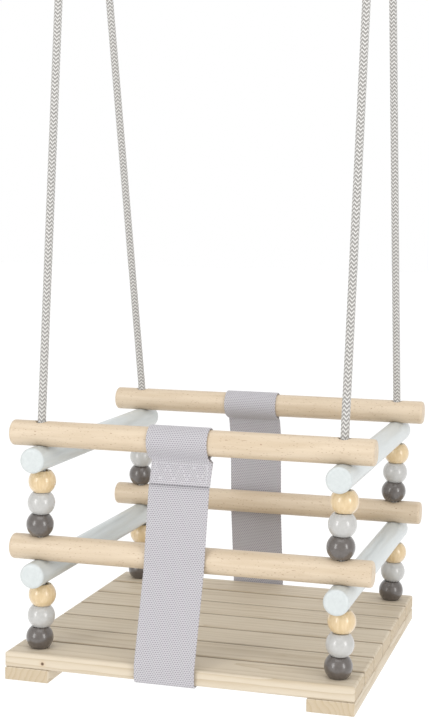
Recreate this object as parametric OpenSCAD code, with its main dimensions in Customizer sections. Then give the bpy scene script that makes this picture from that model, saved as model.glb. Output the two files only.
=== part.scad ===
// Toddler bucket swing. A slatted wooden seat hangs on two braided ropes, one a side. Each rope
// runs up through the seat's front corner, a stack of three beads, a white spar, a beech rail,
// three more beads, a second spar and rail, on to a steel ring, and down the same way at the back.
// A webbing safety strap is sewn round both upper rails and passes under the seat.
// Millimetres. +Z up, +Y to the back of the seat, the child faces -Y, left is -X.
// Origin: above the middle of the cage, level with where a hook bears inside each ring.

/* [Columns] */
// Half the distance between the left and right rope columns
column_x = 150; // [120:1:200]
// Half the distance between the front and rear rope columns
column_y = 150; // [120:1:200]
// Drop from the hang points to the top of the seat
seat_drop = 1020; // [900:5:1500]

// How far the left ring hangs out to the left of its column
left_out = 26; // [0:1:60]
// How far the right ring hangs in to the left of its column
right_in = 5; // [0:1:60]

/* [Rails and spars] */
// Diameter of the rails and spars
dowel_d = 25; // [20:0.5:32]
// Length of a beech rail, left to right
rail_length = 360; // [300:1:420]
// Length of a white spar, front to back
spar_length = 350; // [300:1:420]
// Rounding of the dowel ends
dowel_round = 3; // [1:0.5:6]
// Rope hole through rails, spars, slats and runners
bore_d = 12; // [9:0.5:14]
// How far the bored crossing lets a rail sink onto its spar
crossing_sink = 1.5; // [0:0.1:2]

/* [Beads] */
// Diameter of a bead
bead_d = 27; // [20:0.5:35]
// Height of a bead between its two flats
bead_height = 21.2; // [15:0.1:30]
// Hole through a bead
bead_bore = 10.5; // [8.5:0.5:13]
// Room left above and below each bead
bead_gap = 0.3; // [0:0.05:1]

/* [Seat] */
// Seat width, left to right
seat_width = 348; // [300:1:420]
// How far the seat sits off the middle of the rope columns
seat_x = -4; // [-10:1:10]
// Width of one slat
slat_width = 48; // [35:1:60]
// Gap between slats
slat_gap = 2.3; // [2:0.1:8]
// Thickness of a slat
slat_thick = 15; // [12:0.5:22]
// Rounding of the slat edges
slat_round = 3; // [1:0.5:6]
// Width of a runner under the slats
runner_width = 46; // [35:1:60]
// Thickness of a runner
runner_thick = 13; // [12:0.5:22]
// Diameter of the recess that hides a rope knot
recess_d = 26; // [20:0.5:32]
// Depth of that recess, up to the underside of the slat
recess_depth = 13; // [8:0.5:15]

/* [Strap] */
// Width of the webbing
strap_width = 60; // [40:1:70]
// Thickness of the webbing
strap_thick = 1.8; // [1:0.1:3]
// Strap centre, left of the middle of the seat
strap_x = -13; // [-40:1:40]

/* [Ropes and rings] */
// Rope diameter
rope_d = 8; // [6:0.5:10]
// Centre radius of a hang ring
ring_radius = 20; // [15:0.5:35]
// Thickness of the ring's wire
ring_wire = 6; // [4:0.5:8]
// Centre radius of the rope's turn over the ring
eye_radius = 16; // [16:0.5:25]

/* [Hidden] */
$fn = 64;
BEECH = [0.87, 0.78, 0.64];
PINE = [0.86, 0.80, 0.70];
WHITE = [0.90, 0.92, 0.91];
NATURAL = [0.85, 0.73, 0.50];
LIGHT = [0.73, 0.72, 0.70];
DARK = [0.40, 0.37, 0.35];
WEBBING = [0.80, 0.78, 0.82];
ROPE = [0.78, 0.76, 0.74];
STEEL = [0.70, 0.71, 0.72];

SLATS = 7;
SIDES = [["left", -1], ["right", 1]];
ENDS = [["front", -1], ["rear", 1]];
TIERS = ["lower", "upper"];
HUES = [["dark", DARK], ["light", LIGHT], ["natural", NATURAL]];

seat_z = -seat_drop;
bead_pitch = bead_height + bead_gap;
stack_height = 3 * bead_pitch;
tier_rise = stack_height + 2 * dowel_d - crossing_sink;
spar_z = [for (t = [0, 1]) seat_z + t * tier_rise + stack_height + dowel_d / 2];
rail_z = [for (z = spar_z) z + dowel_d - crossing_sink];
rail_top = rail_z[1] + dowel_d / 2;
slat_pitch = slat_width + slat_gap;
seat_depth = SLATS * slat_width + (SLATS - 1) * slat_gap;
runner_x = seat_width / 2 - runner_width / 2;
runner_low = seat_z - slat_thick - runner_thick;
ring_z = -(ring_radius - ring_wire / 2);
pivot_z = ring_z - ring_radius;
eye_z = pivot_z + ring_wire / 2 + 0.4 + rope_d / 2 - eye_radius;
bend_z = rail_top - 4;
bend_reach = 14;
function ring_x(s) = s * column_x - (s < 0 ? left_out : right_in);
bend_below = eye_z - bend_z;
lean = acos(eye_radius / norm([column_y, bend_below])) - atan2(bend_below, column_y);
screw_length = 24;
strap_gap = 0.5;

// ---- rails and spars ----

// a dowel along +Z with rounded ends, centred
module dowel(length) {
    rotate_extrude() {
        translate([0, -length / 2]) square([dowel_d / 2 - dowel_round, length]);
        translate([0, dowel_round - length / 2]) square([dowel_d / 2, length - 2 * dowel_round]);
        for (s = [-1, 1])
            translate([dowel_d / 2 - dowel_round, s * (length / 2 - dowel_round)]) circle(dowel_round);
    }
}

// a vertical rope hole with eased mouths, to cut from a horizontal dowel
module rope_hole() {
    cylinder(d = bore_d, h = dowel_d + 2, center = true);
    for (s = [0, 180]) rotate([s, 0, 0])
        translate([0, 0, dowel_d / 2 - 1.2]) cylinder(r1 = bore_d / 2, r2 = bore_d / 2 + 1.2, h = 1.4);
}

module rail(e, t) {
    color(BEECH) translate([0, e * column_y, rail_z[t]]) difference() {
        rotate([0, 90, 0]) dowel(rail_length);
        for (s = [-1, 1]) translate([s * column_x, 0, 0]) rope_hole();
    }
}

module spar(s, t) {
    color(WHITE) translate([s * column_x, 0, spar_z[t]]) difference() {
        rotate([90, 0, 0]) dowel(spar_length);
        for (e = [-1, 1]) translate([0, e * column_y, 0]) rope_hole();
    }
}

// ---- beads ----

// k counts the beads upwards from the bottom of their stack
module bead(e, s, t, k) {
    color(HUES[k][1])
    translate([s * column_x, e * column_y, seat_z + t * tier_rise + (k + 0.5) * bead_pitch])
    difference() {
        intersection() {
            sphere(d = bead_d);
            cube([2 * bead_d, 2 * bead_d, bead_height], center = true);
        }
        cylinder(d = bead_bore, h = bead_d, center = true);
    }
}

// ---- seat ----

module rounded_rect(w, h, r) {
    square([w - 2 * r, h], center = true);
    square([w, h - 2 * r], center = true);
    for (x = [-1, 1]) for (y = [-1, 1])
        translate([x * (w / 2 - r), y * (h / 2 - r)]) circle(r);
}

// a board with every edge rounded, centred
module board(w, d, h, r) {
    intersection() {
        rotate([90, 0, 90]) linear_extrude(w, center = true) rounded_rect(d, h, r);
        rotate([90, 0, 0]) linear_extrude(d, center = true) rounded_rect(w, h, r);
        linear_extrude(h, center = true) rounded_rect(w, d, r);
    }
}

function slat_y(i) = (i - (SLATS + 1) / 2) * slat_pitch;

// one screw a crossing; at the end slats it keeps clear of the rope recess
function screw_x(i) = (i == 1 || i == SLATS) ? runner_x - 15 : runner_x;
function screw_y(i) = slat_y(i) + (i == 1 ? -15 : i == SLATS ? 15 : 0);

// a countersunk screw driven up from below, enlarged by g where it is cut away
module screw(g = 0) {
    translate([0, 0, -g]) cylinder(r1 = 4 + g, r2 = 2 + g, h = 3 + g);
    cylinder(r = 2 + g, h = screw_length - 3 + g);
    translate([0, 0, screw_length - 3]) cylinder(r1 = 2 + g, r2 = 0.4 + g, h = 3 + g);
}

module screw_places(i) {
    for (s = [-1, 1]) translate([seat_x + s * screw_x(i), screw_y(i), runner_low]) children();
}

module seat_slat(i) {
    color(PINE) difference() {
        translate([seat_x, slat_y(i), seat_z - slat_thick / 2])
            board(seat_width, slat_width, slat_thick, slat_round);
        if (i == 1 || i == SLATS) for (s = [-1, 1])
            translate([s * column_x, (i == 1 ? -1 : 1) * column_y, seat_z - slat_thick / 2])
                cylinder(d = bore_d, h = slat_thick + 2, center = true);
        screw_places(i) screw(0.05);
    }
}

module runner(s) {
    color(PINE) difference() {
        translate([seat_x + s * runner_x, 0, runner_low + runner_thick / 2])
            board(runner_width, seat_depth, runner_thick, 2);
        for (e = [-1, 1]) translate([s * column_x, e * column_y, runner_low - 1]) {
            cylinder(d = bore_d, h = runner_thick + 2);
            cylinder(d = recess_d, h = recess_depth + 1 + (recess_depth >= runner_thick ? 1 : 0));
        }
        for (i = [1:SLATS]) screw_places(i) screw(0.05);
    }
}

module slat_screws() {
    color(STEEL) for (i = [1:SLATS]) screw_places(i) screw();
}

// ---- strap ----

wrap_r = dowel_d / 2 + strap_gap;
front_run = -column_y - wrap_r - strap_thick;
sewn_low = rail_z[1] - 46;
edge_run = -seat_depth / 2 - strap_gap - strap_thick;
under_z = seat_z - slat_thick - strap_gap - strap_thick;
corner_r = 5;

// Front pieces are drawn in profile, y to the right and z up, and carried across the webbing's
// width; back mirrors them to the rear.
module across_strap(back = false) {
    color(WEBBING) translate([strap_x - strap_width / 2, 0, 0]) mirror([0, back ? 1 : 0, 0])
        rotate([90, 0, 90]) linear_extrude(strap_width) children();
}

// points on an arc from angle a to angle b
function arc(c, r, a, b, n) = [for (i = [0:n]) let (t = a + (b - a) * i / n) c + r * [cos(t), sin(t)]];

// where the strap, leaving the rail at 60 degrees below level, comes back to y
function meets(r, y) =
    let (p = [-column_y, rail_z[1]] + r * [cos(-60), sin(-60)]) [y, p[1] - (p[0] - y) / tan(60)];

// once round the rail, then doubled and sewn for a short way below it
module strap_loop() {
    c = [-column_y, rail_z[1]];
    difference() {
        polygon(concat([[front_run, sewn_low]], arc(c, wrap_r + strap_thick, 180, -60, 60),
                       [meets(wrap_r + strap_thick, front_run + 2 * strap_thick),
                        [front_run + 2 * strap_thick, sewn_low]]));
        polygon(concat(arc(c, wrap_r, 180, -60, 60), [meets(wrap_r, front_run + strap_thick)]));
    }
}

// down past the lower rail, out to the seat's edge and round under it
module strap_run() {
    low = rail_z[0] - 8;
    edge = seat_z + 2;
    c = [edge_run + corner_r, under_z + corner_r];
    polygon(concat([[front_run, sewn_low - 0.3], [front_run, low], [edge_run, edge]],
                   arc(c, corner_r, 180, 270, 8), arc(c, corner_r - strap_thick, 270, 180, 8),
                   [[edge_run + strap_thick, edge], [front_run + strap_thick, low],
                    [front_run + strap_thick, sewn_low - 0.3]]));
}

module strap_under() {
    reach = -edge_run - corner_r;
    color(WEBBING) translate([strap_x - strap_width / 2, -reach, under_z])
        cube([strap_width, 2 * reach, strap_thick]);
}

// ---- ropes ----

// One leg of the route as [y, z], seen from the side with y measured out from the middle:
// from the knot up to the bend above the rail, then straight to where it meets the eye's arc.
leg = concat(
    [[column_y, runner_low + 1.5], [column_y, seat_z + 60], [column_y, rail_z[0]],
     [column_y, bend_z - bend_reach]],
    [for (a = [0.25:0.25:1]) [
        column_y - bend_reach * a * a * sin(lean),
        bend_z - bend_reach + bend_reach * (2 * a - a * a * (1 - cos(lean)))]],
    [for (f = [0.25, 0.5, 0.75]) [
        column_y + (eye_radius * cos(lean) - column_y) * f,
        bend_z + (eye_z + eye_radius * sin(lean) - bend_z) * f]]
);
route = concat(
    [for (p = leg) [-p[0], p[1]]],
    [for (i = [0:12]) let (a = lean + (180 - 2 * lean) * i / 12)
        [-eye_radius * cos(a), eye_z + eye_radius * sin(a)]],
    [for (i = [len(leg) - 1:-1:0]) leg[i]]
);

// the direction of the route at point i, from its neighbours
function along(i) =
    let (d = route[min(i + 1, len(route) - 1)] - route[max(i - 1, 0)]) d / norm(d);

// above the upper rail the rope drifts sideways to its ring
function rope_x(s, z) =
    let (f = min(1, max(0, (z - bend_z) / (eye_z - bend_z)))) s * column_x + (ring_x(s) - s * column_x) * f;

module rope(s) {
    n = 10;
    r = rope_d / 2;
    rings = [for (i = [0:len(route) - 1]) for (k = [0:n - 1])
        let (t = along(i), a = 360 * k / n)
        [rope_x(s, route[i][1]) + r * cos(a), route[i][0] - r * sin(a) * t[1],
         route[i][1] + r * sin(a) * t[0]]];
    m = len(route);
    faces = concat(
        [[for (k = [0:n - 1]) k]],
        [for (i = [0:m - 2]) for (k = [0:n - 1])
            [i * n + k, (i + 1) * n + k, (i + 1) * n + (k + 1) % n, i * n + (k + 1) % n]],
        [[for (k = [n - 1:-1:0]) (m - 1) * n + k]]
    );
    color(ROPE) polyhedron(rings, faces, convexity = 10);
}

// a stopper knot drawn up through the runner's recess against the slat
module knot(e, s) {
    color(ROPE) translate([s * column_x, e * column_y, runner_low + recess_depth - 6])
    difference() {
        rotate_extrude() {
            translate([0, -5.5]) square([6.5, 11]);
            translate([6.5, 0]) scale([4.5, 5.5]) circle(1);
        }
        cylinder(r = rope_d / 2 + 0.1, h = 20, center = true);
    }
}

// ---- rings ----

module ring(s) {
    color(STEEL) translate([ring_x(s), 0, ring_z]) rotate([90, 0, 0])
        rotate_extrude() translate([ring_radius, 0]) circle(d = ring_wire);
}

// ---- what is drawn ----

for (t = [0, 1]) for (e = ENDS)
    rail(e[1], t);
for (t = [0, 1]) for (s = SIDES)
    spar(s[1], t);
for (e = ENDS) for (s = SIDES) for (t = [0, 1]) for (k = [0:2])
    bead(e[1], s[1], t, k);
for (i = [1:SLATS]) seat_slat(i);
runner(-1);  // runner_left
runner(1);  // runner_right
slat_screws();
across_strap() strap_loop();  // strap_loop_front
across_strap() strap_run();  // strap_front
strap_under();
across_strap(true) strap_run();  // strap_rear
across_strap(true) strap_loop();  // strap_loop_rear
for (s = SIDES) rope(s[1]);
for (e = ENDS) for (s = SIDES)
    knot(e[1], s[1]);
for (s = SIDES) ring(s[1]);
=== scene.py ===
import math

import bpy
import numpy as np
from mathutils import Matrix, Vector


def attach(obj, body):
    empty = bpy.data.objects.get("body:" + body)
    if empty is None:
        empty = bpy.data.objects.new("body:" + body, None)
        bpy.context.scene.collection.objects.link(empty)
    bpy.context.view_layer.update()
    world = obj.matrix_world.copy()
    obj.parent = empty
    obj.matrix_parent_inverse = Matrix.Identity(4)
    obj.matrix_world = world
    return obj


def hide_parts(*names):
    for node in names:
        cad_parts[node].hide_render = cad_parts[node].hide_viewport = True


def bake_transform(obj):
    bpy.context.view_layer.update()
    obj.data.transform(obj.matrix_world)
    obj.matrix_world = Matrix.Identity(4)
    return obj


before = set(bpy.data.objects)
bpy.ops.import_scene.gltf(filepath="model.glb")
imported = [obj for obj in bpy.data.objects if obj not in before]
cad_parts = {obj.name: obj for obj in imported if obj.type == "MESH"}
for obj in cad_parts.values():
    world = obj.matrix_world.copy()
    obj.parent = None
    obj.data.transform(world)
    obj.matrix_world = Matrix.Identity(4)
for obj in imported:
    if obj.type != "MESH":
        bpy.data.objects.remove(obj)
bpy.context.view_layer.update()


# ---- camera ----
# It stands a little right of the middle and above the upper rails, and looks slightly down.
lens = bpy.data.cameras.new("camera")
lens.sensor_width = 36
lens.lens = 72.8
camera = bpy.data.objects.new("camera", lens)
bpy.context.collection.objects.link(camera)
camera.matrix_world = (Matrix.Translation((0.4031, -1.4545, -0.5979))
                       @ Matrix.Rotation(math.radians(16.18), 4, "Z")
                       @ Matrix.Rotation(math.radians(90 - 5.45), 4, "X")
                       @ Matrix.Rotation(math.radians(0.80), 4, "Z"))
bpy.context.scene.camera = camera


# ---- ropes ----
# One 8 mm braided rope a side, laid in five herringbone columns of two greys. It runs from a knot
# under the seat's front corner, up through beads and rails, over the ring and down behind.
ROPE_R = 0.004
COLUMN_X = COLUMN_Y = 0.150
SEAT_TOP, RUNNER_LOW = -1.020, -1.048
RAIL_LOW_Z, RAIL_UP_Z = -0.9195, -0.8065
EYE_Z, EYE_R = -0.0456, 0.016
BEND_Z, BEND_R = -0.798, 0.014
COLUMNS, ROW = 10, 0.00195


def run_along(line):
    """The distance along a line at each of its points."""
    return np.concatenate([[0], np.cumsum(np.linalg.norm(np.diff(line, axis=0), axis=1))])


def eased(line, s, ease):
    """The line [y, z] with a point at each distance in s, then a running mean over 2 ease + 1
    of them. Beyond both ends it is continued by its own mirror image."""
    run = run_along(line)
    line = np.stack([np.interp(s, run, line[:, 0]), np.interp(s, run, line[:, 1])], 1)
    padded = np.vstack([line[:1] + (line[:1] - line[ease:0:-1]), line,
                        line[-1:] + (line[-1:] - line[-2:-ease - 2:-1])])
    window = np.ones(2 * ease + 1) / (2 * ease + 1)
    return np.stack([np.convolve(padded[:, k], window, "valid") for k in (0, 1)], 1)


def rope_line():
    """The rope's centreline as [y, z], front knot to rear knot: straight up the column, a bend of
    14 mm over the upper rail, straight to where it meets the arc over the ring, and mirrored.
    The corners are eased by a running mean over 10 mm, and the points lie 0.9 mm apart."""
    bend = BEND_Z
    rise = EYE_Z - bend
    lean = math.acos(EYE_R / math.hypot(COLUMN_Y, rise)) - math.atan2(rise, COLUMN_Y)
    a = np.arange(0.25, 1.01, 0.25)
    f = np.array([0.25, 0.5, 0.75])
    meet = np.array([EYE_R * math.cos(lean), EYE_Z + EYE_R * math.sin(lean)])
    leg = np.vstack([
        [[COLUMN_Y, RUNNER_LOW + 0.0015], [COLUMN_Y, SEAT_TOP + 0.06], [COLUMN_Y, RAIL_LOW_Z],
         [COLUMN_Y, bend - BEND_R]],
        np.stack([COLUMN_Y - BEND_R * a**2 * math.sin(lean),
                  bend - BEND_R + BEND_R * (2 * a - a**2 * (1 - math.cos(lean)))], 1),
        np.stack([COLUMN_Y + (meet[0] - COLUMN_Y) * f, bend + (meet[1] - bend) * f], 1),
    ])
    turn = np.linspace(lean, math.pi - lean, 13)
    eye = np.stack([-EYE_R * np.cos(turn), EYE_Z + EYE_R * np.sin(turn)], 1)
    line = np.vstack([leg * [-1, 1], eye, leg[::-1]])
    return eased(line, np.arange(0, run_along(line)[-1], 0.0009), 5)


def add_piece(name, mesh):
    """Shade the mesh smooth and put it in the scene as an object."""
    mesh.polygons.foreach_set("use_smooth", np.full(len(mesh.polygons), True))
    mesh.update()
    piece = bpy.data.objects.new(name, mesh)
    bpy.context.collection.objects.link(piece)
    return piece


def surface(name, grid, closed=(True, False), caps=False, uv=None):
    """A mesh over grid[i, j] of points, one quad a cell. closed joins the last column to the
    first and the last row to the first; caps closes both end rows with a fan to their middle.
    uv[i, j] has one more column and row than a joined grid has points. The faces are turned
    over, all at once, if the volume they shut in comes out negative."""
    rows, cols = grid.shape[:2]
    nr, nc = rows - (not closed[1]), cols - (not closed[0])
    i, j = np.meshgrid(np.arange(nr), np.arange(nc), indexing="ij")
    near = [(i, j), (i, j + 1), (i + 1, j + 1), (i + 1, j)]
    quads = np.stack([a % rows * cols + b % cols for a, b in near], -1).reshape(-1, 4)
    points = grid.reshape(-1, 3)
    faces = [quads]
    if caps:
        points = np.vstack([points, grid[0].mean(0), grid[-1].mean(0)])
        k, m = np.arange(cols), (np.arange(cols) + 1) % cols
        last = (rows - 1) * cols
        faces += [np.stack([m, k, 0 * k + rows * cols], 1),
                  np.stack([last + k, last + m, 0 * k + rows * cols + 1], 1)]
    triangles = np.vstack([quads[:, [0, 1, 2]], quads[:, [0, 2, 3]]] + faces[1:])
    p, q, r = (points[triangles[:, c]] for c in (0, 1, 2))
    inside_out = np.einsum("ij,ij->i", p, np.cross(q, r)).sum() < 0
    order = slice(None, None, -1) if inside_out else slice(None)
    mesh = bpy.data.meshes.new(name)
    mesh.from_pydata(points.tolist(), [], [f for part in faces for f in part[:, order].tolist()])
    if uv is not None:
        loops = np.stack([uv[a, b] for a, b in near], 2).reshape(-1, 4, 2)[:, order].reshape(-1, 2)
        flat = np.zeros((len(mesh.loops), 2))
        flat[:len(loops)] = loops
        if caps:
            flat[len(loops):] = uv[0, 0]
        mesh.uv_layers.new(name="UVMap").data.foreach_set("uv", flat.ravel())
    return add_piece(name, mesh)


def braided_tube(name, path, side, radius, sides=40):
    """A rope along path: rings of points about it, square to it, that begin at side. They lie
    0.08 mm inside radius and swell by 0.12 mm, as a half sine, over each column of the braid.
    The UV counts columns round and rows of 1.95 mm along."""
    step = np.gradient(path, axis=0)
    ahead = step / np.linalg.norm(step, axis=1, keepdims=True)
    side = side - (side * ahead).sum(1, keepdims=True) * ahead
    side = side / np.linalg.norm(side, axis=1, keepdims=True)
    up = np.cross(ahead, side)
    v, u = np.meshgrid(run_along(path) / ROW, np.arange(sides + 1) * COLUMNS / sides, indexing="ij")
    turn = u * 2 * np.pi / COLUMNS
    r = (radius - 0.00008 + 0.00012 * np.abs(np.sin(np.pi * u)))[..., None]
    grid = (path[:, None] + r * (np.cos(turn)[..., None] * side[:, None]
                                 + np.sin(turn)[..., None] * up[:, None]))
    return surface(name, grid[:, :-1], caps=True, uv=np.stack([u, v], -1))


def node(tree, kind, inputs=None, out=0, **settings):
    """A shader node. inputs gives its sockets values, or other nodes' outputs to join to."""
    n = tree.nodes.new("ShaderNode" + kind)
    for key, value in settings.items():
        setattr(n, key, value)
    for key, value in (inputs or {}).items():
        if isinstance(value, bpy.types.NodeSocket):
            tree.links.new(value, n.inputs[key])
        else:
            n.inputs[key].default_value = value
    return n.outputs[out]


def maths(tree, operation, a, b=0.0):
    return node(tree, "Math", {0: a, 1: b}, operation=operation)


def xyz(tree, vector):
    """The three parts of a vector or a colour."""
    split = tree.nodes.new("ShaderNodeSeparateXYZ")
    tree.links.new(vector, split.inputs[0])
    return split.outputs


def mixed(tree, factor, a, b):
    """Colours a and b mixed by factor; a plain colour is given as red, green, blue."""
    a, b = (c if isinstance(c, bpy.types.NodeSocket) else (*c, 1) for c in (a, b))
    return node(tree, "Mix", {0: factor, 6: a, 7: b}, out=2, data_type="RGBA")


def finish_shader(tree, colour, roughness, bump, depth, **surface_values):
    """The shader that closes a material: colour, roughness and a bump depth metres deep."""
    values = {"Base Color": colour, "Roughness": roughness}
    values.update({key.replace("_", " "): value for key, value in surface_values.items()})
    if bump is not None:
        values["Normal"] = node(tree, "Bump", {"Height": bump, "Distance": depth, "Strength": 1.0})
    tree.links.new(node(tree, "BsdfPrincipled", values), tree.nodes["Material Output"].inputs[0])


def blank(name):
    material = bpy.data.materials.new(name)
    material.use_nodes = True
    material.node_tree.nodes.remove(material.node_tree.nodes["Principled BSDF"])
    return material, material.node_tree


def braided_cord():
    """Two greys of spun fibre in turns. Rows slope up in one column and down in the next, so
    they meet as chevrons: a row is a whole number of v plus a zigzag over two columns. Each is
    a half sine across, sunk between columns, with fine lines of fibre along it."""
    material, t = blank("braided_cord")
    u, v = xyz(t, node(t, "UVMap", uv_map="UVMap"))[:2]
    zigzag = maths(t, "ABSOLUTE", maths(t, "SUBTRACT", maths(t, "FLOORED_MODULO", u, 2.0), 1.0))
    row = maths(t, "ADD", v, maths(t, "MULTIPLY", zigzag, 1.5))
    ridge = maths(t, "SINE", maths(t, "MULTIPLY", maths(t, "FRACT", row), math.pi))
    column = maths(t, "ABSOLUTE", maths(t, "SINE", maths(t, "MULTIPLY", u, math.pi)))
    height = maths(t, "MULTIPLY", ridge, maths(t, "ADD", 0.45, maths(t, "MULTIPLY", column, 0.55)))
    turns = maths(t, "FLOORED_MODULO", maths(t, "FLOOR", row), 2.0)
    dark = maths(t, "LESS_THAN", turns, 0.5)
    fibres = maths(t, "SINE", maths(t, "MULTIPLY", row, 2 * math.pi * 5))
    fuzz = node(t, "TexNoise", {"Vector": node(t, "TexCoord", out=3), "Scale": 900.0,
                                "Detail": 2.0})
    tone = mixed(t, dark, (0.68, 0.665, 0.64), (0.25, 0.24, 0.225))
    tone = mixed(t, maths(t, "MULTIPLY", fuzz, 0.2), tone, (0.66, 0.65, 0.63))
    # painted shade: the sunk parts between the braid's rows and columns are coloured darker, where
    # shade falls
    pit = maths(t, "SUBTRACT", 1.0, node(t, "MapRange", {0: height, 1: 0.0, 2: 0.45}))
    tone = mixed(t, maths(t, "MULTIPLY", pit, 0.55), tone, (0.15, 0.14, 0.13))
    relief = maths(t, "ADD", height, maths(t, "MULTIPLY", fibres, 0.10))
    finish_shader(t, tone, 0.82, relief, 0.0004, Sheen_Weight=0.25, Sheen_Roughness=0.5)
    return material


RING_X = {"left": -0.176, "right": 0.145}
cord_finish = braided_cord()
line = rope_line()
rise = np.clip((line[:, 1] - BEND_Z) / (EYE_Z - BEND_Z), 0, 1)
ropes = {}
for side, sign in (("left", -1), ("right", 1)):
    foot = sign * COLUMN_X
    path = np.column_stack([foot + (RING_X[side] - foot) * rise, line])
    rope = braided_tube(f"rope_{side}_braid", path, np.array([1.0, 0, 0]), ROPE_R)
    rope.data.materials.append(cord_finish)
    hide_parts(f"rope_{side}")
    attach(rope, "swing")
    ropes[side] = (rope, path)


# ---- knots ----
# Each rope end is tied in a hard stopper knot, drawn up through the runner's recess so that it
# bears on the slat above. It is the same braided rope.
def stopper_knot(x, y):
    """The tight core of an overhand knot: a trefoil, twice round and three times through, of
    radius 5.4 mm with 2.4 mm of swing, as flat as the recess is deep."""
    phi = np.linspace(0, 2 * np.pi, 150)
    out = 0.0054 + 0.0024 * np.cos(3 * phi)
    path = np.stack([x + out * np.cos(2 * phi), y + out * np.sin(2 * phi),
                     RUNNER_LOW + 0.0072 + 0.0022 * np.sin(3 * phi)], 1)
    return path, np.tile([0.0, 0.0, 1.0], (len(phi), 1))


for side, sign in (("left", -1), ("right", 1)):
    for end, way in (("front", -1), ("rear", 1)):
        path, up = stopper_knot(sign * COLUMN_X, way * COLUMN_Y)
        knot = braided_tube(f"knot_{end}_{side}_tied", path, up, 0.0034, sides=24)
        knot.data.materials.append(cord_finish)
        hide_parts(f"knot_{end}_{side}")
        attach(knot, "swing")
    rope, path = ropes[side]


# ---- rings ----
# A welded ring of 6 mm steel wire, 46 mm across outside, hangs in each rope's eye. The weld
# stands proud as a low bead at one side, and the wire is polished with fine draw marks.
def welded_ring(name, x):
    """A torus of 20 mm centre radius standing in the XZ plane; its wire radius of 3 mm swells
    by 0.25 mm at the weld, as a bell curve 6 degrees wide."""
    around = np.radians(np.arange(0, 360, 2.0))[:, None]
    wire = np.radians(np.arange(0, 360, 12.0))[None, :]
    off = (around - math.radians(200)) / math.radians(6)
    r = 0.003 + 0.00025 * np.exp(-off**2)
    out = 0.020 + r * np.cos(wire)
    grid = np.stack([x + out * np.cos(around), r * np.sin(wire), -0.017 + out * np.sin(around)], -1)
    return surface(name, grid, closed=(True, True))


def polished_steel():
    """Bright drawn wire: streaks along the ring vary the gloss, with a few dull specks."""
    material, t = blank("polished_steel")
    where = node(t, "TexCoord", out=3)
    streaks = node(t, "TexNoise", {"Vector": node(t, "Mapping", {"Vector": where,
                                   "Scale": (1.0, 14.0, 1.0)}), "Scale": 260.0, "Detail": 3.0})
    rough = node(t, "MapRange", {0: streaks, 3: 0.14, 4: 0.34})
    tone = mixed(t, streaks, (0.56, 0.56, 0.57), (0.74, 0.74, 0.73))
    finish_shader(t, tone, rough, streaks, 0.00004, Metallic=1.0)
    return material


steel_finish = polished_steel()
for side in ("left", "right"):
    ring = welded_ring(f"ring_{side}_welded", RING_X[side])
    ring.data.materials.append(steel_finish)
    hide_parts(f"ring_{side}")
    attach(ring, "hang_rings")


# ---- rails ----
# Four turned beech dowels of 25 mm, sanded and sealed, two at the front and two at the back.
# Each is bored near its ends and the rope passes up through it.
def lie_along(tree, axis, stretch=14.0):
    """Object coordinates in millimetres, squeezed along the grain's axis so that a pattern
    comes out stretched along it."""
    scale = [1000.0, 1000.0, 1000.0]
    scale[axis] /= stretch
    return node(tree, "Mapping", {"Vector": node(tree, "TexCoord", out=3), "Scale": scale})


def turned_beech():
    """Pale pinkish cream with faint growth bands and the short dark dashes of its pores, which
    all lie along the dowel; the lacquer is satin and the pores stay slightly open."""
    material, t = blank("turned_beech")
    grain = lie_along(t, 0)
    bands = node(t, "TexNoise", {"Vector": grain, "Scale": 0.16, "Detail": 3.0, "Distortion": 0.4})
    tone = mixed(t, node(t, "MapRange", {0: bands, 1: 0.35, 2: 0.65}),
                 (0.51, 0.41, 0.29), (0.59, 0.49, 0.365))
    fine = node(t, "TexNoise", {"Vector": grain, "Scale": 0.9, "Detail": 2.0})
    tone = mixed(t, maths(t, "MULTIPLY", fine, 0.3), tone, (0.46, 0.345, 0.235))
    pores = node(t, "TexNoise", {"Vector": lie_along(t, 0, 3.5), "Scale": 1.35, "Detail": 0.0})
    dash = node(t, "MapRange", {0: pores, 1: 0.73, 2: 0.79})
    tone = mixed(t, maths(t, "MULTIPLY", dash, 0.75), tone, (0.27, 0.165, 0.10))
    finish_shader(t, tone, node(t, "MapRange", {0: fine, 3: 0.38, 4: 0.52}),
                  maths(t, "MULTIPLY", maths(t, "ADD", dash, fine), -0.5), 0.00010)
    return material


def dress(name, finish):
    """Give a CAD node its finish in every material slot."""
    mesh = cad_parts[name].data
    if not mesh.materials:
        mesh.materials.append(finish)
    for k in range(len(mesh.materials)):
        mesh.materials[k] = finish


beech_finish = turned_beech()
for end in ("front", "rear"):
    for tier in ("upper", "lower"):
        dress(f"rail_{end}_{tier}", beech_finish)


# ---- spars ----
# Four more dowels run front to back under the rails, dipped in cool white satin lacquer that
# lets the faintest grain through.
def white_lacquer():
    """Cool white with a hint of blue; long faint ripples of grain stay under the lacquer."""
    material, t = blank("white_lacquer")
    ripple = node(t, "TexNoise", {"Vector": lie_along(t, 1), "Scale": 0.35, "Detail": 3.0})
    tone = mixed(t, ripple, (0.445, 0.475, 0.475), (0.555, 0.585, 0.58))
    finish_shader(t, tone, node(t, "MapRange", {0: ripple, 3: 0.30, 4: 0.42}), ripple, 0.00012,
                  Coat_Weight=0.2, Coat_Roughness=0.25)
    return material


white_finish = white_lacquer()
for side in ("left", "right"):
    for tier in ("upper", "lower"):
        dress(f"spar_{side}_{tier}", white_finish)


# ---- beads ----
# Three turned wooden beads of 27 mm stand in each gap: dark taupe, light grey, clear lacquered.
# Both flats are cut so that they stack, and the bore's mouths are eased.
BEAD_R, BEAD_H, BORE_R = 0.0135, 0.0212, 0.00525
BEAD_PITCH, TIER_RISE = 0.0215, 0.113


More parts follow.
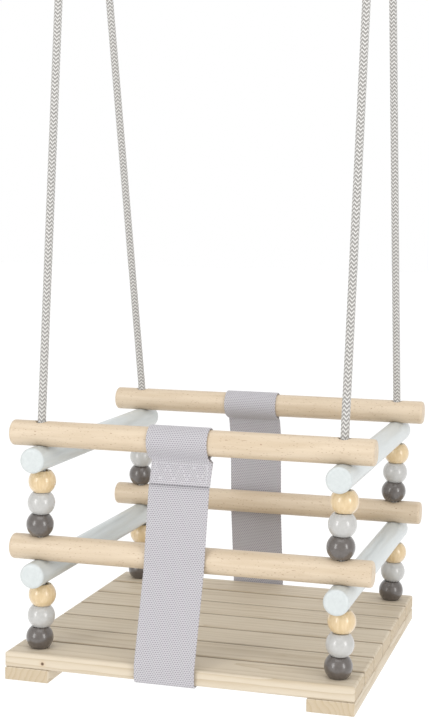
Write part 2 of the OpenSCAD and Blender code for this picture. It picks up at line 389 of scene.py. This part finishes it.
def bead_profile():
    """Half the bead's section as [out, up], a closed loop: the ball's arc between its flats,
    a 0.8 mm easing on to each flat, the flat, a 0.5 mm easing into the bore, and the bore."""
    h = BEAD_H / 2
    edge = math.acos((h - 0.0006) / BEAD_R)
    arc = np.linspace(edge, math.pi - edge, 33)
    ball = np.stack([BEAD_R * np.sin(arc), BEAD_R * np.cos(arc)], 1)
    lip = BEAD_R * math.sin(edge)
    ease = np.radians(np.arange(0, 91, 22.5))
    mouth = np.stack([BORE_R + 0.0005 * (1 - np.sin(ease)), h - 0.0005 * (1 - np.cos(ease))], 1)
    top = np.vstack([mouth[::-1], [[BORE_R + 0.0012, h]], [[lip - 0.0009, h]],
                     [[lip - 0.0003, h - 0.0002]]])
    bore = np.stack([np.full(5, BORE_R), np.linspace(-h + 0.002, h - 0.002, 5)], 1)
    return np.vstack([bore, top, ball, (top * [1, -1])[::-1]])


def bead_lacquer(name, pale, deep, grain, specks):
    """Gloss lacquer over turned wood: the wood's rings show through the clear one, and the
    greys keep a soft pearl mottle."""
    material, t = blank(name)
    where = node(t, "Mapping", {"Vector": node(t, "TexCoord", out=3),
                                "Scale": (1000.0, 1000.0, 1000.0 / grain)})
    figure = node(t, "TexNoise", {"Vector": where, "Scale": specks, "Detail": 3.0,
                                  "Distortion": 0.3})
    tone = mixed(t, node(t, "MapRange", {0: figure, 1: 0.35, 2: 0.65}), deep, pale)
    finish_shader(t, tone, 0.30, figure, 0.00005, Coat_Weight=0.8, Coat_Roughness=0.2,
                  Coat_IOR=1.5)
    return material


bead_finish = {
    "natural": bead_lacquer("bead_clear", (0.62, 0.475, 0.28), (0.55, 0.405, 0.22), 5.0, 0.45),
    "light": bead_lacquer("bead_light_grey", (0.43, 0.425, 0.41), (0.40, 0.395, 0.38), 1.0, 0.35),
    "dark": bead_lacquer("bead_dark_taupe", (0.088, 0.074, 0.066), (0.072, 0.060, 0.053),
                         1.0, 0.35),
}
section = bead_profile()
spin = np.radians(np.arange(0, 360, 7.5))
# Each bead sits a little off and out of level. The bore leaves 1.2 mm of play on the rope, and
# some beads are set further off than that, so their bores cut slightly into it.
loose = np.random.default_rng(11).uniform(-1, 1, (2, 2, 2, 3, 4))
for end, way in (("front", -1), ("rear", 1)):
    for side, sign in (("left", -1), ("right", 1)):
        for tier, lift in (("lower", 0.0), ("upper", TIER_RISE)):
            for count, hue in enumerate(("dark", "light", "natural")):
                z = SEAT_TOP + lift + (count + 0.5) * BEAD_PITCH
                off = loose[int(way > 0), int(sign > 0), int(lift > 0), count]
                shift = 0.0011 * np.array([count - 1 + 0.1 * off[0], off[1]])
                x, y = section[:, :1] * np.cos(spin), section[:, :1] * np.sin(spin)
                grid = np.stack([
                    sign * COLUMN_X + shift[0] + x, way * COLUMN_Y + shift[1] + y,
                    z + section[:, 1:] + 0.016 * (off[2] * x + off[3] * y)], -1)
                name = f"bead_{end}_{side}_{tier}_{hue}"
                bead = surface(name + "_turned", grid, closed=(True, True))
                bead.data.materials.append(bead_finish[hue])
                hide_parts(name)
                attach(bead, name)


# ---- seat slats and runners ----
# Seven planed pine slats, side by side with a narrow gap, are screwed from below to two runners.
# The wood is fine sanded and unfinished.
def planed_pine(name, axis, pitch, first, centre):
    """Growth rings about a heart some way below or beside each board, so that they run as
    lines along it and as arcs over its end grain; each board has its own heart and tone. A
    small knot sits in the front slat's face. Late wood is the darker, harder side of a ring.
    The sawn walls of the gaps between boards are coloured dark as painted shade. The sawn
    ends, being end grain, are a little darker too: centre is the boards' middle along the grain."""
    material, t = blank(name)
    where = node(t, "TexCoord", out=3)
    place = xyz(t, where)
    across, up = place[1 - axis], place[2]
    board = maths(t, "FLOOR", maths(t, "DIVIDE", maths(t, "SUBTRACT", across, first), pitch))
    chance = t.nodes.new("ShaderNodeTexWhiteNoise")
    chance.noise_dimensions = "1D"
    t.links.new(board, chance.inputs["W"])
    pick = xyz(t, chance.outputs["Color"])
    wander = node(t, "TexNoise", {"Vector": lie_along(t, axis, 9.0), "Scale": 0.035,
                                  "Detail": 3.0, "Roughness": 0.55})
    heart_across = maths(t, "MULTIPLY", maths(t, "SUBTRACT", pick[0], 0.5), 0.10)
    middle = maths(t, "MULTIPLY", maths(t, "ADD", board, 0.5), pitch)
    dx = maths(t, "SUBTRACT", maths(t, "SUBTRACT", maths(t, "SUBTRACT", across, first), middle),
               heart_across)
    dz = maths(t, "ADD", maths(t, "SUBTRACT", up, SEAT_TOP),
               maths(t, "ADD", 0.035, maths(t, "MULTIPLY", pick[1], 0.05)))
    far = maths(t, "SQRT", maths(t, "ADD", maths(t, "MULTIPLY", dx, dx),
                                 maths(t, "MULTIPLY", dz, dz)))
    rings = maths(t, "FRACT", maths(t, "ADD", maths(t, "DIVIDE", far, 0.0055),
                                    maths(t, "MULTIPLY", wander, 3.4)))
    late = maths(t, "POWER", rings, 3.0)
    tone = mixed(t, late, (0.575, 0.50, 0.39), (0.415, 0.33, 0.215))
    tone = mixed(t, maths(t, "MULTIPLY", pick[2], 0.45), tone, (0.60, 0.53, 0.42))
    fibre = node(t, "TexNoise", {"Vector": lie_along(t, axis, 26.0), "Scale": 1.6, "Detail": 3.0})
    tone = mixed(t, maths(t, "MULTIPLY", fibre, 0.30), tone, (0.40, 0.31, 0.21))
    part = maths(t, "FRACT", maths(t, "DIVIDE", maths(t, "SUBTRACT", across, first), pitch))
    to_gap = maths(t, "MULTIPLY", pitch, maths(t, "SUBTRACT", 0.5, maths(t, "ABSOLUTE",
                   maths(t, "SUBTRACT", part, 0.5))))
    # painted shade: the walls of the gaps between the slats are coloured dark where shade falls
    # between the boards
    painted_gap_shade = maths(t, "MULTIPLY", node(t, "MapRange", {0: to_gap, 1: 0.0028, 2: 0.0014}),
                  maths(t, "LESS_THAN", maths(t, "ABSOLUTE", across), 0.170))
    tone = mixed(t, maths(t, "MULTIPLY", painted_gap_shade, 0.8), tone, (0.16, 0.12, 0.075))
    along = maths(t, "ABSOLUTE", maths(t, "SUBTRACT", place[axis], centre))
    sawn = maths(t, "GREATER_THAN", along, 0.1736 if axis == 0 else 0.1745)
    tone = mixed(t, maths(t, "MULTIPLY", sawn, 0.5), tone, (0.38, 0.285, 0.165))
    spot = node(t, "VectorMath", {0: where, 1: (-0.138, -0.1750, SEAT_TOP - 0.0085)}, out=1,
                operation="DISTANCE")
    halo = node(t, "MapRange", {0: spot, 1: 0.0045, 2: 0.0010})
    eye = node(t, "MapRange", {0: spot, 1: 0.0021, 2: 0.0010})
    tone = mixed(t, maths(t, "MULTIPLY", halo, 0.45), tone, (0.52, 0.36, 0.20))
    tone = mixed(t, eye, tone, (0.10, 0.055, 0.03))
    finish_shader(t, tone, node(t, "MapRange", {0: fibre, 3: 0.55, 4: 0.72}),
                  maths(t, "ADD", maths(t, "MULTIPLY", fibre, 0.6),
                        maths(t, "MULTIPLY", late, 0.4)), 0.00018)
    return material


slat_finish = planed_pine("planed_pine_slats", 0, 0.0503, -0.17605, -0.004)
for count in range(1, 8):
    dress(f"seat_slat_{count}", slat_finish)
runner_finish = planed_pine("planed_pine_runners", 1, 0.2, -0.2, 0.0)
for side in ("left", "right"):
    dress(f"runner_{side}", runner_finish)


# ---- screws ----
# Fourteen zinc-plated countersunk screws hold the slats, their heads flush under the runners.
def zinc_plate():
    """Cloudy plated steel, a little blue, duller where the plating is thick."""
    material, t = blank("zinc_plate")
    cloud = node(t, "TexNoise", {"Vector": node(t, "TexCoord", out=3), "Scale": 700.0,
                                 "Detail": 4.0})
    tone = mixed(t, cloud, (0.50, 0.51, 0.53), (0.72, 0.72, 0.70))
    finish_shader(t, tone, node(t, "MapRange", {0: cloud, 3: 0.28, 4: 0.5}), cloud, 0.00005,
                  Metallic=1.0)
    return material


dress("slat_screws", zinc_plate())


# ---- strap ----
# One length of 60 mm polyester webbing, 1.8 mm thick. It passes under the seat, up the outside
# of both lower rails and once round each upper rail, where its tail is sewn down in front.
STRAP_X, STRAP_W, STRAP_T = -0.013, 0.060, 0.0018
WRAP_R = 0.0125 + 0.0005 + STRAP_T / 2
EDGE_Y, UNDER_Z = -0.1771, SEAT_TOP - 0.0164
PINCH_Y = -0.1555


def strap_line():
    """The front strap's middle line as [y, z]: from under the seat round its edge, up past the
    lower rail, in behind the tail, under the upper rail, round its back and top and down in
    front as the tail. Corners are eased by a running mean over 5 mm of points 0.7 mm apart."""
    face = -COLUMN_Y - WRAP_R
    corner = np.radians(np.linspace(270, 180, 8))
    r = 0.0041
    edge = np.stack([EDGE_Y + 0.0009 + r + r * np.cos(corner) - 0.0014,
                     UNDER_Z + r + r * np.sin(corner)], 1)
    wrap = np.radians(np.linspace(-75, 220, 70))
    loop = np.stack([-COLUMN_Y + WRAP_R * np.cos(wrap), RAIL_UP_Z + WRAP_R * np.sin(wrap)], 1)
    behind = STRAP_T + 0.00005
    line = np.vstack([
        edge, [[EDGE_Y - 0.0006, SEAT_TOP + 0.001], [face, RAIL_LOW_Z - 0.008],
               [face, RAIL_LOW_Z + 0.014], [face + behind, RAIL_UP_Z - 0.044],
               [PINCH_Y + behind, RAIL_UP_Z - 0.0165]],
        loop, [[PINCH_Y, RAIL_UP_Z - 0.0158], [face + 0.0003, RAIL_UP_Z - 0.0395]]])
    length = run_along(line)[-1]
    return eased(line, np.linspace(0, length, int(length / 0.0007)), 3)


def band(name, line, slip=None):
    """Webbing along line [y, z]: its section is a slab with rounded selvedges, carried square to
    the line. Its UV is in millimetres, across and along, and slip moves it sideways along x."""
    step = np.gradient(line, axis=0)
    step /= np.linalg.norm(step, axis=1, keepdims=True)
    normal = np.stack([-step[:, 1], step[:, 0]], 1)
    half, t = STRAP_W / 2, STRAP_T / 2
    x = np.linspace(-half + t, half - t, 41)
    round_edge = np.radians(np.linspace(-60, 60, 5))
    across = np.concatenate([x, half - t + t * np.cos(round_edge), x[::-1],
                             -half + t - t * np.cos(round_edge)])
    out = np.concatenate([0 * x - t, t * np.sin(round_edge), 0 * x + t, -t * np.sin(round_edge)])
    s = run_along(line)
    slip = np.zeros(len(line)) if slip is None else slip
    grid = np.stack([
        STRAP_X + slip[:, None] + across + 0 * s[:, None],
        line[:, :1] + normal[:, :1] * out,
        line[:, 1:] + normal[:, 1:] * out], -1)
    wide = np.append(across, across[0])
    uv = np.stack([1000 * wide + 0 * s[:, None], 1000 * s[:, None] + 0 * wide], -1)
    return surface(name, grid, caps=True, uv=uv)


def woven_webbing():
    """Plain-woven webbing: weft ribs 1.85 mm apart across the strap, and warp threads 1.25 mm
    wide that each pass over every other rib, stepped from thread to thread like bricks."""
    material, t = blank("woven_webbing")
    across, along = xyz(t, node(t, "UVMap", uv_map="UVMap"))[:2]
    u, v = maths(t, "DIVIDE", across, 1.25), maths(t, "DIVIDE", along, 3.7)
    thread = maths(t, "FLOOR", u)
    shifted = maths(t, "ADD", v, maths(t, "MULTIPLY", thread, 0.5))
    rib = maths(t, "ABSOLUTE", maths(t, "SINE", maths(t, "MULTIPLY", v, 2 * math.pi)))
    over = maths(t, "ABSOLUTE", maths(t, "SINE", maths(t, "MULTIPLY", shifted, math.pi)))
    height = maths(t, "ADD", maths(t, "MULTIPLY", rib, 0.40), maths(t, "MULTIPLY", over, 0.60))
    where = node(t, "TexCoord", out=3)
    fuzz = node(t, "TexNoise", {"Vector": where, "Scale": 1300.0, "Detail": 3.0})
    cloud = node(t, "TexNoise", {"Vector": where, "Scale": 45.0, "Detail": 2.0})
    # painted shade: the low parts of the weave, between ribs and raised threads, are coloured much
    # darker than the tops, where shade falls
    tone = mixed(t, node(t, "MapRange", {0: height, 1: 0.25, 2: 0.85}),
                 (0.16, 0.155, 0.165), (0.47, 0.455, 0.475))
    tone = mixed(t, maths(t, "MULTIPLY", fuzz, 0.25), tone, (0.56, 0.545, 0.575))
    tone = mixed(t, maths(t, "MULTIPLY", cloud, 0.15), tone, (0.38, 0.35, 0.40))
    finish_shader(t, tone, 0.8, maths(t, "ADD", height, maths(t, "MULTIPLY", fuzz, 0.25)), 0.00035,
                  Sheen_Weight=0.2, Sheen_Roughness=0.4)
    return material


webbing_finish = woven_webbing()
line = strap_line()
run = run_along(line)
pinch_in, pinch_out = run[-1] - 0.1130, run[-1] - 0.0260
for end, way, guard, sewn, looped in (("front", 1, "front_guard", 0.0090, 0.0050),
                                      ("rear", -1, "rear_guard", -0.0020, -0.0032)):
    slip = np.interp(run, [0.02, pinch_in, pinch_in + 0.004, pinch_out, pinch_out + 0.004],
                     [0, sewn, looped, looped, sewn])
    strap = band(f"strap_{end}_webbing", line * [way, 1], slip)
    strap.data.materials.append(webbing_finish)
    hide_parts(f"strap_{end}", f"strap_loop_{end}")
    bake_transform(strap)
half = np.linspace(-1, 1, 300)[:, None] * [[abs(line[0, 0]), 0]] + [[0, line[0, 1]]]
under = band("strap_under_webbing", half)
under.data.materials.append(webbing_finish)
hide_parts("strap_under")
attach(under, "swing")


# ---- strap stitching ----
# The tail of each loop is sewn to the strap behind it with a box of lockstitch and a zigzag
# across it, in thread a shade lighter than the webbing.
def stitches(name, corners, way, inner):
    """Short raised stitches along a run of straight seams: each is an ellipsoid 2.6 mm long,
    0.7 mm wide and 0.6 mm deep, set in the webbing's face and 3.2 mm from the next. corners are
    [x, z]; way is 1 at the front and -1 at the rear, and inner puts them on the far face."""
    long, wide, deep = 0.0013, 0.00035, 0.00030
    starts, ends = np.array(corners[:-1]), np.array(corners[1:])
    parts = []
    for a, b in zip(starts, ends):
        n = max(1, int(np.linalg.norm(b - a) / 0.0032))
        f = (np.arange(n) + 0.5)[:, None] / n
        heading = np.tile((b - a) / np.linalg.norm(b - a), (n, 1))
        parts.append(np.column_stack([a + (b - a) * f, heading]))
    seam = np.vstack(parts)
    lon, lat = np.meshgrid(np.radians(np.arange(0, 360, 60)), np.radians([-45, 0, 45]))
    ball = np.stack([np.cos(lat) * np.cos(lon), np.cos(lat) * np.sin(lon), np.sin(lat)], -1)
    ball = np.vstack([ball.reshape(-1, 3), [0, 0, -1], [0, 0, 1]])
    k = np.arange(6)
    m = (k + 1) % 6
    quads = np.vstack([np.stack([r + k, r + m, r + 6 + m, r + 6 + k], 1) for r in (0, 6)])
    fans = np.vstack([np.stack([m, k, 0 * k + 18], 1), np.stack([12 + k, 12 + m, 0 * k + 19], 1)])
    at_x, at_z, to_x, to_z = seam.T[:, :, None]
    x = at_x + long * ball[:, 2] * to_x - wide * ball[:, 0] * to_z
    z = at_z + long * ball[:, 2] * to_z + wide * ball[:, 0] * to_x
    slope = np.interp(z, [RAIL_UP_Z - 0.0395, RAIL_UP_Z - 0.0158],
                      [-COLUMN_Y - WRAP_R + 0.0003, PINCH_Y])
    y = way * (slope + (1.55 if inner else -0.5) * STRAP_T - deep * ball[:, 1])
    points = np.stack([x, y, z], -1).reshape(-1, 3)
    shift = (np.arange(len(seam)) * 20)[:, None, None]
    order = slice(None) if way > 0 else slice(None, None, -1)
    faces = (quads[None] + shift).reshape(-1, 4)[:, order].tolist()
    faces += (fans[None] + shift).reshape(-1, 3)[:, order].tolist()
    mesh = bpy.data.meshes.new(name)
    mesh.from_pydata(points.tolist(), [], faces)
    return add_piece(name, mesh)


def sewing_thread():
    """Pale twisted thread."""
    material, t = blank("sewing_thread")
    twist = node(t, "TexNoise", {"Vector": node(t, "TexCoord", out=3), "Scale": 2200.0})
    tone = mixed(t, twist, (0.50, 0.49, 0.51), (0.61, 0.60, 0.62))
    finish_shader(t, tone, 0.55, twist, 0.0001)
    return material


thread_finish = sewing_thread()
for end, way, guard in (("front", 1, "front_guard"), ("rear", -1, "rear_guard")):
    sewn = 0.0090 if way > 0 else -0.0020
    west, east = STRAP_X + sewn - 0.026, STRAP_X + sewn + 0.026
    high, low = RAIL_UP_Z - 0.0200, RAIL_UP_Z - 0.0365
    x = np.linspace(west, east, 9)
    zigzag = np.stack([x, np.where(np.arange(9) % 2, low + 0.001, high - 0.001)], 1)
    box = [[west, high], [east, high], [east, low], [west, low], [west, high]]
    for face in ("outer", "inner"):
        seam = stitches(f"stitching_{end}_{face}", np.vstack([box, zigzag]), way, face == "inner")
        seam.data.materials.append(thread_finish)
        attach(seam, guard)


# ---- floor and light ----
# A plain pale floor lies well below the hanging seat, under soft light from the front and above.
FLOOR_Z, FLOOR_HALF = -1.66, 30
corners = [(x * FLOOR_HALF, y * FLOOR_HALF, FLOOR_Z) for x, y in ((-1, -1), (1, -1), (1, 1), (-1, 1))]
floor_mesh = bpy.data.meshes.new("floor")
floor_mesh.from_pydata(corners, [], [(0, 1, 2, 3)])
floor = bpy.data.objects.new("floor", floor_mesh)
bpy.context.collection.objects.link(floor)
paper, t = blank("white_paper")
finish_shader(t, (0.92, 0.92, 0.92, 1), 0.9, None, 0.0, Emission_Color=(1, 1, 1, 1),
              Emission_Strength=0.12)
floor.data.materials.append(paper)

world = bpy.data.worlds.new("studio")
world.use_nodes = True
world.node_tree.nodes["Background"].inputs[0].default_value = (1.0, 1.0, 1.0, 1)
world.node_tree.nodes["Background"].inputs[1].default_value = 1.0
bpy.context.scene.world = world


def softbox(name, place, width, height, power):
    """A rectangular area light, aimed at the middle of the cage."""
    aim = (0, 0, -0.9)
    light = bpy.data.lights.new(name, "AREA")
    light.shape = "RECTANGLE"
    light.size, light.size_y, light.energy = width, height, power
    lamp = bpy.data.objects.new(name, light)
    bpy.context.collection.objects.link(lamp)
    lamp.matrix_world = (Matrix.Translation(place) @ (Vector(aim) - Vector(place))
                         .to_track_quat("-Z", "Y").to_matrix().to_4x4())


softbox("softbox_left", (-1.76, -3.04, -0.02), 0.8, 2.08, 33)
softbox("softbox_right", (3.2, -2.08, -0.02), 0.8, 2.08, 38)
softbox("softbox_top", (0.2, -0.9, 1.0), 1.6, 1.2, 9)
bpy.context.scene.view_settings.view_transform = "Standard"
